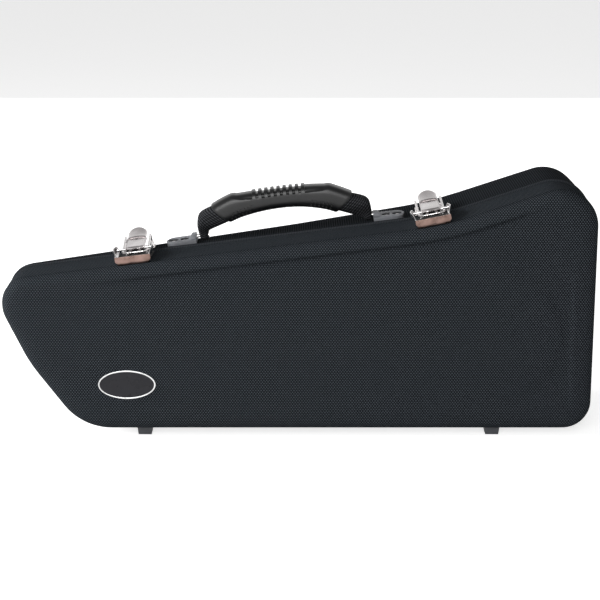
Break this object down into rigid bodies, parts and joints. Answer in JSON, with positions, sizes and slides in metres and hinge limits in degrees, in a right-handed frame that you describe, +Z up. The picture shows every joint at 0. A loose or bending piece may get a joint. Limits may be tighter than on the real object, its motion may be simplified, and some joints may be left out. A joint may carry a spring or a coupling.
{
  "type": "trumpet case",
  "caption": "Shaped hard case for a trumpet: hinged fabric-covered shells that widen towards the bell, toggle latches, padded carrying handle and a fitted foam interior.",
  "frame": {"origin": "on the floor under the middle of the closed case, as it stands on its feet", "axes": "+X towards the bell end, +Y from the lid to the base (away from the viewer), +Z up"},
  "size_m": [0.5754, 0.1434, 0.248],
  "materials": {
    "shell_fabric": "coarse woven nylon, nearly black with a cool tint",
    "binding": "tight woven edge binding, black, slightly shiny",
    "plush": "short-pile plush, charcoal",
    "grip_rubber": "soft moulded rubber, black, satin",
    "webbing": "woven webbing, black",
    "grey_plastic": "moulded plastic, dark grey, fine grain",
    "foot_plastic": "moulded plastic, dark grey, matt",
    "dark_nickel": "dark nickel plate, polished, lightly scratched",
    "nickel": "nickel plate, satin",
    "badge_metal": "pressed metal, bright raised border",
    "badge_dark": "black lacquer, semi-gloss"
  },
  "bodies": {
    "base": {"base_shell": "shell_fabric", "base_rim_binding": "binding", "base_insert": "plush", "base_feet": "foot_plastic", "base_foot_rivets": "nickel", "hinge_base_leaves": "dark_nickel", "hinge_pins": "nickel", "hinge_base_rivets": "nickel", "handle_plate_left": "grey_plastic", "handle_plate_right": "grey_plastic", "handle_plate_rivets": "nickel", "handle_pins": "nickel", "latch_keeper_left": "dark_nickel", "latch_keeper_right": "dark_nickel", "keeper_rivets": "nickel"},
    "lid": {"lid_shell": "shell_fabric", "lid_rim_binding": "binding", "lid_lining": "plush", "lid_feet": "foot_plastic", "lid_foot_rivets": "nickel", "hinge_lid_leaves": "dark_nickel", "hinge_lid_rivets": "nickel", "latch_bracket_left": "dark_nickel", "latch_bracket_right": "dark_nickel", "bracket_rivets": "nickel", "latch_pivot_pins": "nickel", "badge_plate": "badge_metal", "badge_inlay": "badge_dark"},
    "lever_left": {"latch_lever_left": "dark_nickel"},
    "lever_right": {"latch_lever_right": "dark_nickel"},
    "bail_left": {"latch_bail_left": "dark_nickel"},
    "bail_right": {"latch_bail_right": "dark_nickel"},
    "handle": {"handle_grip": "grip_rubber", "handle_strap_left": "webbing", "handle_strap_right": "webbing"},
    "flap": {"compartment_flap": "plush", "flap_pull_tab": "webbing"}
  },
  "joints": [
    {"name": "lid_hinge", "type": "hinge", "parent": "base", "child": "lid", "pos_m": [0.00125, -0.0083, 0.0059], "axis": [1, 0, 0], "range_deg": [0, 110]},
    {"name": "lever_left_hinge", "type": "hinge", "parent": "lid", "child": "lever_left", "pos_m": [-0.15979, -0.0323, 0.18377], "axis": [0.9922, 0, 0.1249], "range_deg": [0, 105]},
    {"name": "bail_left_hinge", "type": "hinge", "parent": "lever_left", "child": "bail_left", "pos_m": [-0.15943, -0.0376, 0.18098], "axis": [0.9922, 0, 0.1249], "range_deg": [-65, 0]},
    {"name": "lever_right_hinge", "type": "hinge", "parent": "lid", "child": "lever_right", "pos_m": [0.12852, -0.0323, 0.22144], "axis": [0.9799, 0, 0.1996], "range_deg": [0, 105]},
    {"name": "bail_right_hinge", "type": "hinge", "parent": "lever_right", "child": "bail_right", "pos_m": [0.12908, -0.0376, 0.21868], "axis": [0.9799, 0, 0.1996], "range_deg": [-65, 0]},
    {"name": "handle_swing", "type": "hinge", "parent": "base", "child": "handle", "pos_m": [-0.0138, 0.0067, 0.19822], "axis": [0.9922, 0, 0.1249], "range_deg": [-50, 50]},
    {"name": "flap_hinge", "type": "hinge", "parent": "base", "child": "flap", "pos_m": [0.21365, -0.0073, 0.0645], "axis": [-1, 0, 0], "range_deg": [0, 85]}
  ],
  "couplings": [
    {"joint": "bail_left_hinge", "follows": "lever_left_hinge", "ratio": -0.6},
    {"joint": "bail_right_hinge", "follows": "lever_right_hinge", "ratio": -0.6}
  ]
}
